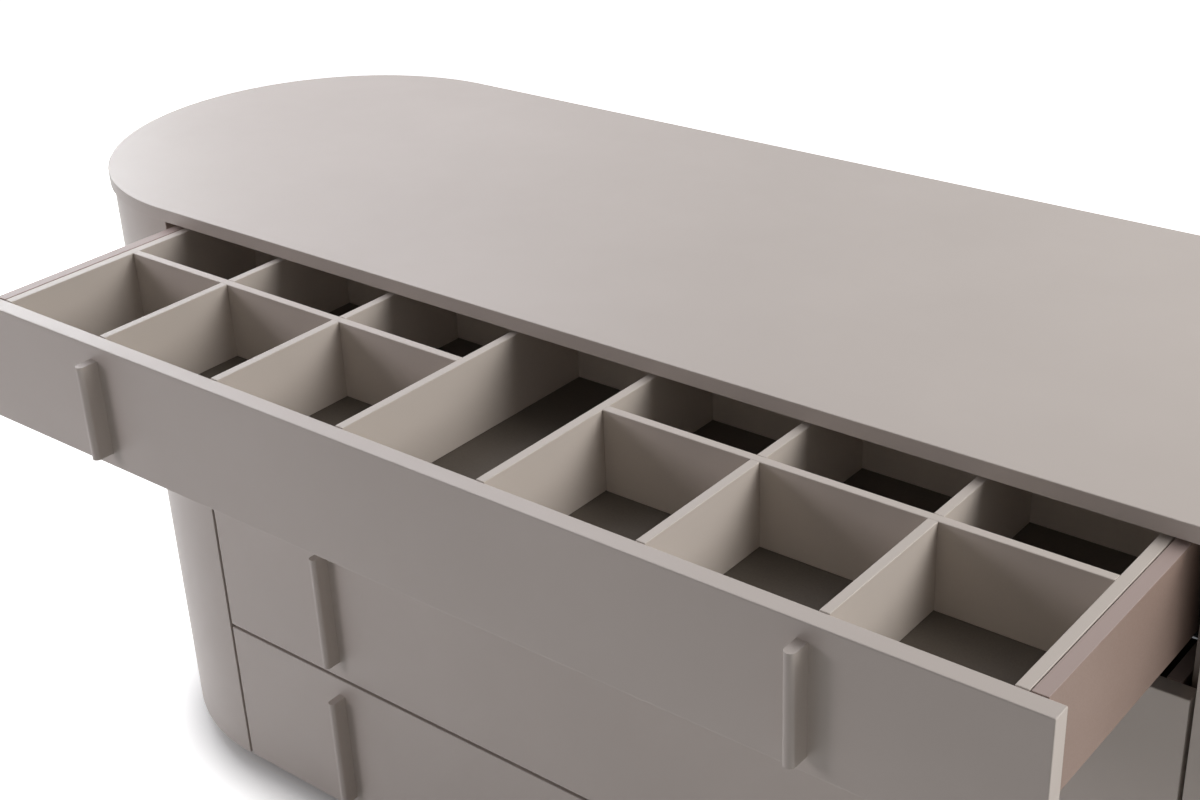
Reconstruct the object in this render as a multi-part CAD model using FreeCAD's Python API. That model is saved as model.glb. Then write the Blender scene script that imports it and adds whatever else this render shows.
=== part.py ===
import FreeCAD, Part
import os

# A lacquered dresser with rounded ends and four full-width drawers, the top one open.
# Lengths are millimetres. +X is to the right seen from the front, the drawers pull out
# towards -Y and +Z is up. The origin is on the floor under the middle of the cabinet.

# Top panel, a stadium seen from above
top_length = 1710.0
top_depth = 525.0
top_thickness = 15.0
top_overhang = 4.0
top_arris = 0.8

# Drawer fronts, stacked with one reveal between them and at their ends
front_thickness = 18.0
front_reveal = 3.0
front_arris = 1.2
top_front_height = 131.0
lower_front_height = 195.0
lower_drawer_count = 3
bumper_gap = 2.0

# Cabinet boards
shell_stub = 2.0
shell_fit = 0.1
side_panel_thickness = 18.0
side_panel_inset = 11.0
bottom_panel_thickness = 18.0
back_panel_thickness = 10.0
back_panel_gap = 1.0
rear_rail_thickness = 18.0
rear_rail_width = 90.0

# Plinth and feet, set well back so that the cabinet seems to float
plinth_height = 24.0
plinth_rail_width = 60.0
plinth_recess = 60.0
plinth_half_length = 660.0
foot_height = 4.0
foot_radius = 20.0
foot_chamfer = 1.0
foot_stem_radius = 4.0
foot_stem_length = 15.0

# Drawer boxes
box_clearance = 6.0
box_wall = 13.0
box_lift = 34.0
box_arris = 0.6
box_bottom_thickness = 5.0
box_groove_depth = 6.0
runner_recess = 12.0

# Organiser in the top drawer: seven columns, two rows except in the middle column. The end
# cells are narrower than the others by the cut.
organiser_board = 9.0
organiser_side_board = 10.5
organiser_clearance = 1.0
organiser_arris = 0.8
cell_depth = 151.0
column_count = 7
end_cell_cut = 11.75
lap_clearance = 0.2

# Handles, upright bars with a round nose. Their screw heads are sunk in the back of the front.
handle_width = 10.0
handle_reach = 20.0
handle_arris = 0.5
handle_inset = 190.0
handle_height_share = 0.757
handle_screw_share = 0.5
handle_screw_radius = 2.0
handle_screw_bite = 12.0
handle_screw_head_radius = 3.5
handle_screw_head_height = 2.5

# Concealed runners: a fixed rail, a middle slide and a drawer slide on each side
runner_sheet = 1.5
runner_gap = 0.5
runner_width = 30.0
runner_wall_height = 7.0
runner_flange_height = 24.0
runner_ledge_clearance = 1.5
runner_setback = 10.0
fixed_rail_length = 330.0
middle_slide_length = 300.0
middle_slide_height = 9.0
middle_slide_setback = 5.0
drawer_slide_setback = 2.0
rail_screw_edge = 30.0
top_drawer_opening = 246.0

# Brackets that hold the top, and the screws
bracket_leg = 30.0
bracket_width = 20.0
bracket_sheet = 2.0
bracket_spacing = 180.0
short_screw_radius = 1.75
short_screw_length = 12.0
short_screw_head_radius = 3.5
short_screw_head_height = 1.2
back_screw_radius = 2.0
back_screw_length = 30.0
back_screw_head_radius = 4.0
back_screw_head_height = 2.5
back_screw_edge = 60.0
back_screw_columns = 5
back_screw_rows = 5
hole_clearance = 0.1
overrun = 1.0
same_place = 0.01

# Places that follow from the sizes above
body_radius = top_depth / 2 - top_overhang
end_centre_x = top_length / 2 - top_depth / 2
shell_thickness = front_thickness + bumper_gap
shell_inner_radius = body_radius - shell_thickness
shell_end_x = end_centre_x - shell_stub
front_half_width = shell_end_x - front_reveal
panel_inner_x = shell_end_x - side_panel_inset
panel_outer_x = panel_inner_x + side_panel_thickness
front_face_y = -body_radius
front_inner_y = front_face_y + front_thickness
panel_back_y = shell_inner_radius - shell_fit
panel_front_y = -panel_back_y
base_z = foot_height + plinth_height
lower_pitch = lower_front_height + front_reveal
top_front_z = base_z + lower_drawer_count * lower_pitch
top_under_z = top_front_z + top_front_height + front_reveal
box_outer_x = panel_inner_x - box_clearance
box_inner_x = box_outer_x - box_wall
organiser_depth = 2 * cell_depth + organiser_board
box_inner_depth = organiser_depth + organiser_side_board + organiser_clearance
box_length = box_inner_depth + box_wall
handle_screw_sink = handle_screw_head_height + hole_clearance
runner_start_x = box_clearance + box_wall + runner_ledge_clearance
runner_end_x = runner_start_x + runner_width
runner_drop = runner_sheet + runner_ledge_clearance


def board(x0, x1, y0, y1, z0, z1):
    """A rectangular board between two corners."""
    return Part.makeBox(x1 - x0, y1 - y0, z1 - z0, FreeCAD.Vector(x0, y0, z0))


def cylinder(radius, length, place, direction):
    """A round bar from a place, along a direction."""
    return Part.makeCylinder(radius, length, place, direction)


def outline_face(points_and_arcs):
    """A flat face from runs: each is a list of two points, or of three for an arc."""
    edges = []
    for run in points_and_arcs:
        ends = [FreeCAD.Vector(*point) for point in run]
        if len(ends) == 2:
            edges.append(Part.LineSegment(ends[0], ends[1]).toShape())
        else:
            edges.append(Part.Arc(ends[0], ends[1], ends[2]).toShape())
    return Part.Face(Part.Wire(edges))


def stadium(centre_x, radius, z0, height):
    """A slab with straight long sides and half-round ends."""
    face = outline_face([
        [(-centre_x, -radius, z0), (centre_x, -radius, z0)],
        [(centre_x, -radius, z0), (centre_x + radius, 0, z0), (centre_x, radius, z0)],
        [(centre_x, radius, z0), (-centre_x, radius, z0)],
        [(-centre_x, radius, z0), (-centre_x - radius, 0, z0), (-centre_x, -radius, z0)],
    ])
    return face.extrude(FreeCAD.Vector(0, 0, height))


def level_edges(solid, z):
    """The edges of a solid that lie at one height."""
    return [e for e in solid.Edges if all(abs(v.Z - z) < same_place for v in e.Vertexes)]


def soften(solid, radius):
    """A board with every edge rounded."""
    return solid.makeFillet(radius, solid.Edges)


def mirrored(shape):
    """The left-hand twin of a right-hand piece."""
    return shape.mirror(FreeCAD.Vector(0, 0, 0), FreeCAD.Vector(1, 0, 0))


def save(name, shapes):
    """Writes one sub-part, one solid or a group of them."""
    shape = shapes[0] if len(shapes) == 1 else Part.makeCompound(shapes)
    shape.exportStep("parts/" + name + ".step")


def make_top():
    """Top panel: one slab with a barely eased edge, drilled from below for the brackets."""
    slab = stadium(end_centre_x, top_depth / 2, top_under_z, top_thickness)
    rims = level_edges(slab, top_under_z) + level_edges(slab, top_under_z + top_thickness)
    slab = slab.makeFillet(top_arris, rims)
    up = FreeCAD.Vector(0, 0, 1)
    x = panel_outer_x + bracket_leg / 2
    holes = [cylinder(short_screw_radius + hole_clearance, short_screw_length + hole_clearance,
                      FreeCAD.Vector(side * x, y, top_under_z - bracket_sheet), up)
             for side in (-1, 1) for y in bracket_places()]
    save("top_panel", [slab.cut(Part.makeCompound(holes))])


def make_end_shells():
    """Curved end shells: a half-round wall with a short flat lip at the front and back."""
    outer = body_radius
    inner = shell_inner_radius
    far = end_centre_x
    lip = shell_end_x
    face = outline_face([
        [(lip, -outer, base_z), (far, -outer, base_z)],
        [(far, -outer, base_z), (far + outer, 0, base_z), (far, outer, base_z)],
        [(far, outer, base_z), (lip, outer, base_z)],
        [(lip, outer, base_z), (lip, inner, base_z)],
        [(lip, inner, base_z), (far, inner, base_z)],
        [(far, inner, base_z), (far + inner, 0, base_z), (far, -inner, base_z)],
        [(far, -inner, base_z), (lip, -inner, base_z)],
        [(lip, -inner, base_z), (lip, -outer, base_z)],
    ])
    shell = face.extrude(FreeCAD.Vector(0, 0, top_under_z - base_z))
    corner = [e for e in shell.Edges
              if all(abs(v.X - lip) < same_place and abs(v.Y + outer) < same_place
                     for v in e.Vertexes)]
    shell = shell.makeFillet(top_arris, corner)
    save("end_shell_right", [shell])
    save("end_shell_left", [mirrored(shell)])


def screw(place, direction, radius, length, head_radius, head_height):
    """A screw with a flat round head: the place is under the head."""
    back = FreeCAD.Vector(direction).multiply(-head_height)
    shank = cylinder(radius, length, place, direction)
    head = cylinder(head_radius, head_height, place.add(back), direction)
    return shank.fuse(head).removeSplitter()


def front_levels():
    """The lower edge and height of each drawer front, from the bottom up."""
    levels = [(base_z + i * lower_pitch, lower_front_height) for i in range(lower_drawer_count)]
    levels.append((top_front_z, top_front_height))
    return levels


def runner_screw_places():
    """Where the fixed rails are screwed to the right side panel."""
    first_y = panel_front_y + runner_setback + fixed_rail_length / 2
    reach = fixed_rail_length / 2 - rail_screw_edge
    places = []
    for level, _ in front_levels():
        z = level + box_lift - runner_drop + runner_flange_height / 2
        for step in (-1, 0, 1):
            places.append(FreeCAD.Vector(panel_inner_x, first_y + step * reach, z))
    return places


def bracket_places():
    """Along the depth of the cabinet, where brackets tie a side panel to the top."""
    return [-bracket_spacing, 0, bracket_spacing]


def back_screw_places():
    """Screws through the back panel into the side panels and the bottom panel."""
    low_z = base_z + bottom_panel_thickness / 2
    first_z = low_z + back_screw_edge
    last_z = top_under_z - back_screw_edge
    rise = (last_z - first_z) / (back_screw_rows - 1)
    column_x = (panel_inner_x + shell_end_x) / 2
    rear_y = panel_back_y + back_panel_thickness
    places = []
    for row in range(back_screw_rows):
        for side in (-1, 1):
            places.append(FreeCAD.Vector(side * column_x, rear_y, first_z + row * rise))
    first_x = back_screw_edge - panel_inner_x
    run = -2 * first_x / (back_screw_columns - 1)
    for column in range(back_screw_columns):
        places.append(FreeCAD.Vector(first_x + column * run, rear_y, low_z))
    return places


def back_screw_pockets():
    """The drilled holes that the back panel's screws sit in."""
    radius = back_screw_radius + hole_clearance
    length = back_screw_length + hole_clearance
    inward = FreeCAD.Vector(0, -1, 0)
    return Part.makeCompound([cylinder(radius, length, p, inward) for p in back_screw_places()])


def make_side_panels():
    """Side panels: upright boards that carry the runners, drilled for their screws."""
    panel = board(panel_inner_x, panel_outer_x, panel_front_y, panel_back_y,
                  base_z + bottom_panel_thickness, top_under_z)
    hole = short_screw_radius + hole_clearance
    depth = short_screw_length + hole_clearance
    out = FreeCAD.Vector(1, 0, 0)
    holes = [cylinder(hole, depth, place, out) for place in runner_screw_places()]
    for y in bracket_places():
        place = FreeCAD.Vector(panel_outer_x, y, top_under_z - bracket_leg / 2)
        holes.append(cylinder(hole, depth, place, FreeCAD.Vector(-1, 0, 0)))
    panel = panel.cut(Part.makeCompound(holes)).cut(back_screw_pockets())
    save("side_panel_right", [panel])
    save("side_panel_left", [mirrored(panel)])


def make_bottom_panel():
    """Bottom panel: a slab that fills the plan inside the shells, drilled for the back's screws."""
    slab = stadium(end_centre_x, panel_back_y, base_z, bottom_panel_thickness)
    save("bottom_panel", [slab.cut(back_screw_pockets())])


def make_back():
    """Back panel between the shells' rear lips, its screws, and the rail under the top."""
    reach = shell_end_x - back_panel_gap
    panel = board(-reach, reach, panel_back_y, panel_back_y + back_panel_thickness,
                  base_z, top_under_z)
    inward = FreeCAD.Vector(0, -1, 0)
    screws = [screw(place, inward, back_screw_radius, back_screw_length,
                    back_screw_head_radius, back_screw_head_height)
              for place in back_screw_places()]
    save("back_panel", [panel.cut(back_screw_pockets())])
    save("back_panel_screws", screws)
    save("rear_rail", [board(-panel_inner_x, panel_inner_x, panel_back_y - rear_rail_width,
                             panel_back_y, top_under_z - rear_rail_thickness, top_under_z)])


def foot_places():
    """One foot near each corner of the plinth and one under its middle."""
    reach_x = plinth_half_length - plinth_rail_width / 2
    reach_y = body_radius - plinth_recess - plinth_rail_width / 2
    corners = [(i * reach_x, j * reach_y) for i in (-1, 1) for j in (-1, 1)]
    return [(0, 0)] + corners


def make_plinth():
    """Plinth: a flat frame of two long rails and three cross rails, on five round feet."""
    outer_y = body_radius - plinth_recess
    inner_y = outer_y - plinth_rail_width
    stem_hole = foot_stem_radius + hole_clearance
    up = FreeCAD.Vector(0, 0, 1)
    holes = [cylinder(stem_hole, foot_stem_length + hole_clearance,
                      FreeCAD.Vector(x, y, foot_height), up) for x, y in foot_places()]
    holes = Part.makeCompound(holes)
    front = board(-plinth_half_length, plinth_half_length, -outer_y, -inner_y,
                  foot_height, base_z).cut(holes)
    back = board(-plinth_half_length, plinth_half_length, inner_y, outer_y,
                 foot_height, base_z).cut(holes)
    save("plinth_long_rails", [front, back])
    reach_x = plinth_half_length - plinth_rail_width / 2
    cross = [board(x - plinth_rail_width / 2, x + plinth_rail_width / 2, -inner_y, inner_y,
                   foot_height, base_z).cut(holes) for x in (-reach_x, 0, reach_x)]
    save("plinth_cross_rails", cross)
    feet = []
    for x, y in foot_places():
        disc = cylinder(foot_radius, foot_height, FreeCAD.Vector(x, y, 0), up)
        disc = disc.makeChamfer(foot_chamfer, level_edges(disc, foot_height))
        stem = cylinder(foot_stem_radius, foot_stem_length + foot_height,
                        FreeCAD.Vector(x, y, 0), up)
        feet.append(disc.fuse(stem).removeSplitter())
    save("levelling_feet", feet)


def make_brackets():
    """Steel angles in the end cavities, between the side panels and the top, with a hole a leg."""
    inner = panel_outer_x
    hole = short_screw_radius + hole_clearance
    up = FreeCAD.Vector(0, 0, 1)
    inward = FreeCAD.Vector(-1, 0, 0)
    brackets = []
    screws = []
    for y in bracket_places():
        y0 = y - bracket_width / 2
        y1 = y + bracket_width / 2
        upright = board(inner, inner + bracket_sheet, y0, y1, top_under_z - bracket_leg, top_under_z)
        level = board(inner, inner + bracket_leg, y0, y1, top_under_z - bracket_sheet, top_under_z)
        angle = upright.fuse(level).removeSplitter()
        side_place = FreeCAD.Vector(inner + bracket_sheet, y, top_under_z - bracket_leg / 2)
        top_place = FreeCAD.Vector(inner + bracket_leg / 2, y, top_under_z - bracket_sheet)
        angle = angle.cut(cylinder(hole, bracket_leg, side_place.add(FreeCAD.Vector(overrun, 0, 0)),
                                   inward))
        angle = angle.cut(cylinder(hole, bracket_leg, top_place.sub(FreeCAD.Vector(0, 0, overrun)),
                                   up))
        brackets.append(angle)
        for place, direction in ((side_place, inward), (top_place, up)):
            screws.append(screw(place, direction, short_screw_radius, short_screw_length,
                                short_screw_head_radius, short_screw_head_height))
    save("top_brackets", brackets + [mirrored(b) for b in brackets])
    return screws


def across(x0, x1, z0, z1, y0, y1):
    """A strip of sheet measured from the right side panel inwards."""
    return board(panel_inner_x - x1, panel_inner_x - x0, y0, y1, z0, z1)


def channel(x0, x1, z0, z1, y0, y1, open_upwards):
    """A folded steel channel, open upwards or downwards."""
    solid = across(x0, x1, z0, z1, y0, y1)
    lift = runner_sheet if open_upwards else -runner_sheet
    return solid.cut(across(x0 + runner_sheet, x1 - runner_sheet, z0 + lift, z1 + lift,
                            y0 - overrun, y1 + overrun))


def make_fixed_rails():
    """Fixed rails: a flange on the side panel, a ledge under the box side and a channel."""
    rails = []
    screws = []
    y0 = panel_front_y + runner_setback
    y1 = y0 + fixed_rail_length
    out = FreeCAD.Vector(1, 0, 0)
    for level, _ in front_levels():
        z0 = level + box_lift - runner_drop
        flange = across(0, runner_sheet, z0, z0 + runner_flange_height, y0, y1)
        ledge = across(0, runner_start_x + runner_sheet, z0, z0 + runner_sheet, y0, y1)
        tray = channel(runner_start_x, runner_end_x, z0, z0 + runner_wall_height, y0, y1, True)
        rails.append(flange.fuse([ledge, tray]).removeSplitter())
    holes = []
    for place in runner_screw_places():
        seat = place.sub(FreeCAD.Vector(runner_sheet, 0, 0))
        holes.append(cylinder(short_screw_radius + hole_clearance, runner_sheet + 2 * overrun,
                              seat.sub(FreeCAD.Vector(overrun, 0, 0)), out))
        screws.append(screw(seat, out, short_screw_radius, short_screw_length,
                            short_screw_head_radius, short_screw_head_height))
    rails = [rail.cut(Part.makeCompound(holes)) for rail in rails]
    save("runner_rails", rails + [mirrored(rail) for rail in rails])
    return screws


def make_slides(name, level, opening):
    """The middle slides and the drawer slides of one drawer, nested in the fixed rails."""
    z0 = level + box_lift - runner_drop
    inset = runner_sheet + runner_gap
    y0 = panel_front_y + runner_setback + middle_slide_setback - opening / 2
    middle = channel(runner_start_x + inset, runner_end_x - inset, z0 + inset,
                     z0 + inset + middle_slide_height, y0, y0 + middle_slide_length, True)
    save(name + "_middle_slides", [middle, mirrored(middle)])
    top = level + box_lift + runner_recess
    y0 = front_inner_y + drawer_slide_setback - opening
    y1 = front_inner_y + box_length - opening
    slide = channel(runner_start_x + 2 * inset, runner_end_x - 2 * inset, z0 + 2 * inset, top,
                    y0, y1, False)
    save(name + "_slides", [slide, mirrored(slide)])


def handle_bar(x, level, height, opening):
    """One handle: a bar with a full-round nose, drilled from behind for two screws."""
    length = height * handle_height_share
    z0 = level + (height - length) / 2
    half = handle_width / 2
    back = front_face_y - opening
    nose = back - handle_reach + half
    face = outline_face([
        [(x - half, back, z0), (x - half, nose, z0)],
        [(x - half, nose, z0), (x, nose - half, z0), (x + half, nose, z0)],
        [(x + half, nose, z0), (x + half, back, z0)],
        [(x + half, back, z0), (x - half, back, z0)],
    ])
    bar = face.extrude(FreeCAD.Vector(0, 0, length))
    rims = [e for e in level_edges(bar, z0) + level_edges(bar, z0 + length)
            if any(abs(v.Y - back) > same_place for v in e.Vertexes)]
    return bar.makeFillet(handle_arris, rims)


def handle_screw_places(level, height, opening):
    """Under the sunk screw heads: two places for each of the two handles."""
    middle = level + height / 2
    reach = height * handle_height_share * handle_screw_share / 2
    x = front_half_width - handle_inset
    y = front_inner_y - opening - handle_screw_sink
    return [FreeCAD.Vector(side * x, y, middle + step * reach)
            for side in (-1, 1) for step in (-1, 1)]


def make_front(name, level, height, opening):
    """Drawer front with its two handles and their screws. Its back is grooved for the bottom."""
    back_y = front_inner_y - opening
    face_y = front_face_y - opening
    front = soften(board(-front_half_width, front_half_width, face_y, back_y,
                         level, level + height), front_arris)
    bottom_z = level + box_lift + runner_recess
    groove = board(-box_inner_x - box_groove_depth, box_inner_x + box_groove_depth,
                   back_y - box_groove_depth, back_y + overrun,
                   bottom_z, bottom_z + box_bottom_thickness)
    forward = FreeCAD.Vector(0, -1, 0)
    reach = front_thickness - handle_screw_sink + handle_screw_bite
    places = handle_screw_places(level, height, opening)
    holes = Part.makeCompound([cylinder(handle_screw_radius + hole_clearance,
                                        reach + hole_clearance, place, forward)
                               for place in places])
    backward = FreeCAD.Vector(0, 1, 0)
    sinks = Part.makeCompound([cylinder(handle_screw_head_radius + hole_clearance,
                                        handle_screw_sink + overrun, place, backward)
                               for place in places])
    save(name + "_front", [front.cut(groove).cut(holes).cut(sinks)])
    x = front_half_width - handle_inset
    bars = [handle_bar(side * x, level, height, opening).cut(holes) for side in (-1, 1)]
    screws = [screw(place, forward, handle_screw_radius, reach, handle_screw_head_radius,
                    handle_screw_head_height) for place in places]
    save(name + "_handle_screws", screws)
    return bars


def make_box(name, level, height, opening):
    """Drawer box behind a front: two sides, a back that stands on the bottom, and the bottom."""
    y0 = front_inner_y - opening
    y1 = y0 + box_length
    z0 = level + box_lift
    z1 = level + height
    bottom_z = z0 + runner_recess
    side = board(box_inner_x, box_outer_x, y0, y1, z0, z1)
    top_rims = [e for e in level_edges(side, z1)
                if abs(e.Vertexes[0].X - e.Vertexes[1].X) < same_place]
    side = side.makeFillet(box_arris, top_rims)
    reach = box_inner_x + box_groove_depth
    side = side.cut(board(box_inner_x - overrun, reach, y0 - overrun, y1 + overrun,
                          bottom_z, bottom_z + box_bottom_thickness))
    bottom = board(-reach, reach, y0 - box_groove_depth, y1, bottom_z,
                   bottom_z + box_bottom_thickness)
    back = board(-box_inner_x, box_inner_x, y1 - box_wall, y1, bottom_z + box_bottom_thickness, z1)
    save(name + "_bottom", [bottom])
    save(name + "_back", [back])
    return [mirrored(side), side]


def organiser_edges(solid, z, along_x):
    """The two long top edges of an organiser board."""
    rims = []
    for e in level_edges(solid, z):
        a, b = e.Vertexes[0], e.Vertexes[1]
        still = abs(a.Y - b.Y) if along_x else abs(a.X - b.X)
        if still < same_place:
            rims.append(e)
    return rims


def make_organiser(name, level, opening):
    """Organiser in the top drawer. Cross boards run front to back, long boards lie over them."""
    z0 = level + box_lift + runner_recess + box_bottom_thickness
    z1 = level + top_front_height
    y0 = front_inner_y - opening
    y1 = y0 + organiser_depth
    outer_x = box_inner_x - organiser_clearance
    inner_x = outer_x - organiser_side_board
    boards_width = (column_count - 1) * organiser_board
    cell_width = (2 * inner_x - boards_width + 2 * end_cell_cut) / column_count
    pitch = cell_width + organiser_board

    def along_y(x0, x1):
        plank = board(x0, x1, y0, y1, z0, z1)
        return plank.makeFillet(organiser_arris, organiser_edges(plank, z1, False))

    save(name + "_side_left", [along_y(-outer_x, -inner_x)])
    save(name + "_side_right", [along_y(inner_x, outer_x)])
    rear = board(-outer_x, outer_x, y1, y1 + organiser_side_board, z0, z1)
    save(name + "_back", [rear.makeFillet(organiser_arris, organiser_edges(rear, z1, True))])

    lap_z = (z0 + z1) / 2
    lap = lap_clearance / 2
    row_y0 = y0 + cell_depth
    row_y1 = row_y0 + organiser_board
    upper = board(-outer_x, outer_x, row_y0 - lap, row_y1 + lap, lap_z - lap, z1 + overrun)
    first_x = -inner_x + cell_width - end_cell_cut
    starts = [first_x + i * pitch for i in range(column_count - 1)]
    middle = (column_count - 1) // 2
    lower = []
    for index, x0 in enumerate(starts):
        plank = along_y(x0, x0 + organiser_board)
        whole = index in (middle - 1, middle)
        if not whole:
            plank = plank.cut(upper)
            lower.append(board(x0 - lap, x0 + organiser_board + lap, y0, y1,
                               z0 - overrun, lap_z + lap))
        kind = "_full_divider_" if whole else "_cross_divider_"
        save(name + kind + str(index + 1), [plank])
    spans = {"left": (-inner_x, starts[middle - 1]),
             "right": (starts[middle] + organiser_board, inner_x)}
    for side, (x0, x1) in spans.items():
        plank = board(x0, x1, row_y0, row_y1, z0, z1)
        plank = plank.makeFillet(organiser_arris, organiser_edges(plank, z1, True))
        save(name + "_long_divider_" + side, [plank.cut(Part.makeCompound(lower))])


def make_drawers():
    """All drawers. The top one stands open and holds the organiser."""
    names = ["bottom_drawer", "third_drawer", "second_drawer", "top_drawer"]
    for name, (level, height) in zip(names, front_levels()):
        is_top = name == "top_drawer"
        opening = top_drawer_opening if is_top else 0
        handles = make_front(name, level, height, opening)
        sides = make_box(name, level, height, opening)
        make_slides(name, level, opening)
        if is_top:
            make_organiser("organiser", level, opening)
            for side, piece, handle in zip(("left", "right"), sides, handles):
                save(name + "_side_" + side, [piece])
                save(name + "_handle_" + side, [handle])
        else:
            save(name + "_sides", sides)
            save(name + "_handles", handles)


os.makedirs("parts", exist_ok=True)
make_top()
make_end_shells()
make_side_panels()
make_bottom_panel()
make_back()
make_plinth()
short_screws = make_brackets() + make_fixed_rails()
save("short_screws", short_screws + [mirrored(piece) for piece in short_screws])
make_drawers()
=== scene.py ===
# A long, low dresser with half-round ends and four drawers. The top drawer stands open.
import math

import bmesh
import bpy
from mathutils import Euler, Matrix, Vector


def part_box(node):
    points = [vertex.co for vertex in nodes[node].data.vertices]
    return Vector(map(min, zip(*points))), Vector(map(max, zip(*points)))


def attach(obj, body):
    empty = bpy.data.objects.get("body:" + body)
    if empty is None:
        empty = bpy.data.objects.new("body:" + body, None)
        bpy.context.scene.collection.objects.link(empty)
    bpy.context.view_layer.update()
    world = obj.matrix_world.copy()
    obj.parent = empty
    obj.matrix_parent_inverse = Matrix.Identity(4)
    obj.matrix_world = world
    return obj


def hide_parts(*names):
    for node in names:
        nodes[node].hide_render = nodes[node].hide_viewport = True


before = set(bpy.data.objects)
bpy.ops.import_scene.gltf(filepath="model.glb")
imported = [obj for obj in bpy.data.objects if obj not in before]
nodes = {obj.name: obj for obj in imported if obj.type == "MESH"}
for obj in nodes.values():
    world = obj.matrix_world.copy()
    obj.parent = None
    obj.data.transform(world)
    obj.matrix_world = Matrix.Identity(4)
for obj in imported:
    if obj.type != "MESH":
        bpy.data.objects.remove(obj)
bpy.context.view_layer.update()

# Plinth
# A flat frame of two long rails and three cross rails, cut from black-brown faced chipboard.
# It stands back from the cabinet's edge all round, so it is seen only from low down.

mm = 0.001


def linear(code):
    """An sRGB hex colour as the linear colour that a shader socket takes."""
    parts = [int(code[i:i + 2], 16) / 255 for i in (1, 3, 5)]
    return [c / 12.92 if c <= 0.04045 else ((c + 0.055) / 1.055) ** 2.4 for c in parts] + [1.0]


def add(tree, kind, settings=None, sockets=None):
    """Adds a node: settings are its own choices, sockets get a value or another node's output."""
    node = tree.nodes.new(kind)
    for name, value in (settings or {}).items():
        setattr(node, name, value)
    for name, value in (sockets or {}).items():
        if isinstance(value, bpy.types.NodeSocket):
            tree.links.new(value, node.inputs[name])
        else:
            node.inputs[name].default_value = value
    return node


def new_finish(name):
    """A new material: its tree, its shader and the object's own coordinates."""
    material = bpy.data.materials.new(name)
    material.use_nodes = True
    tree = material.node_tree
    place = add(tree, "ShaderNodeTexCoord").outputs["Object"]
    return material, tree, tree.nodes["Principled BSDF"], place


def faced_board(name, face, fleck, roughness=0.55, painted_top_highlight=None):
    """Melamine-faced chipboard, pressed against a finely embossed plate.
    The resin film gives an even, low sheen with a 0.9 mm pebble and a faint printed fleck.
    Faces that point up may be painted a lighter colour of their own: a painted highlight for the
    light that falls on the top edges."""
    material, tree, shader, place = new_finish(name)
    cloud = add(tree, "ShaderNodeTexNoise", sockets={"Vector": place, "Scale": 9.0, "Detail": 2.0})
    specks = add(tree, "ShaderNodeTexNoise", sockets={
        "Vector": place, "Scale": 620.0, "Detail": 2.0})
    speck_weight = 0.55
    both = add(tree, "ShaderNodeMath", {"operation": "MULTIPLY_ADD"}, {
        0: specks.outputs["Fac"], 1: speck_weight, 2: cloud.outputs["Fac"]})
    share = add(tree, "ShaderNodeMapRange", sockets={
        "Value": both.outputs[0], "From Min": 0.5, "From Max": 1.05})
    # A colour mix takes its share at socket 0 and its colours at 6 and 7. Its output is number 2.
    colour = add(tree, "ShaderNodeMix", {"data_type": "RGBA"}, {
        0: share.outputs[0], 6: linear(face), 7: linear(fleck)})
    # Painted highlight: faces that point up are mixed toward a lighter colour, which stands in for
    # the light that falls on them.
    if painted_top_highlight:
        facing = add(tree, "ShaderNodeSeparateXYZ", sockets={
            0: add(tree, "ShaderNodeNewGeometry").outputs["Normal"]})
        facing_up_share = add(tree, "ShaderNodeMapRange", sockets={
            "Value": facing.outputs[2], "From Min": 0.7, "From Max": 0.9})
        colour = add(tree, "ShaderNodeMix", {"data_type": "RGBA"}, {
            0: facing_up_share.outputs[0], 6: colour.outputs[2], 7: linear(painted_top_highlight)})
    pebble = add(tree, "ShaderNodeTexNoise", sockets={
        "Vector": place, "Scale": 1100.0, "Detail": 1.0})
    sheen = add(tree, "ShaderNodeMapRange", sockets={
        "Value": pebble.outputs["Fac"], "To Min": roughness - 0.06, "To Max": roughness + 0.06})
    relief = add(tree, "ShaderNodeBump", sockets={
        "Height": pebble.outputs["Fac"], "Strength": 0.25, "Distance": 0.00006})
    tree.links.new(colour.outputs[2], shader.inputs["Base Color"])
    tree.links.new(sheen.outputs[0], shader.inputs["Roughness"])
    tree.links.new(relief.outputs[0], shader.inputs["Normal"])
    return material


def blocks(*corners):
    """A plain mesh of square-edged blocks, each given by its lowest and highest corner."""
    verts, faces = [], []
    for lo, hi in corners:
        first = len(verts)
        verts += [(x, y, z) for z in (lo[2], hi[2]) for y in (lo[1], hi[1]) for x in (lo[0], hi[0])]
        faces += [[first + i for i in ring] for ring in (
            (0, 2, 3, 1), (4, 5, 7, 6), (0, 1, 5, 4), (2, 6, 7, 3), (0, 4, 6, 2), (1, 3, 7, 5))]
    mesh = bpy.data.meshes.new("blocks")
    mesh.from_pydata(verts, [], faces)
    return mesh


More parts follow.
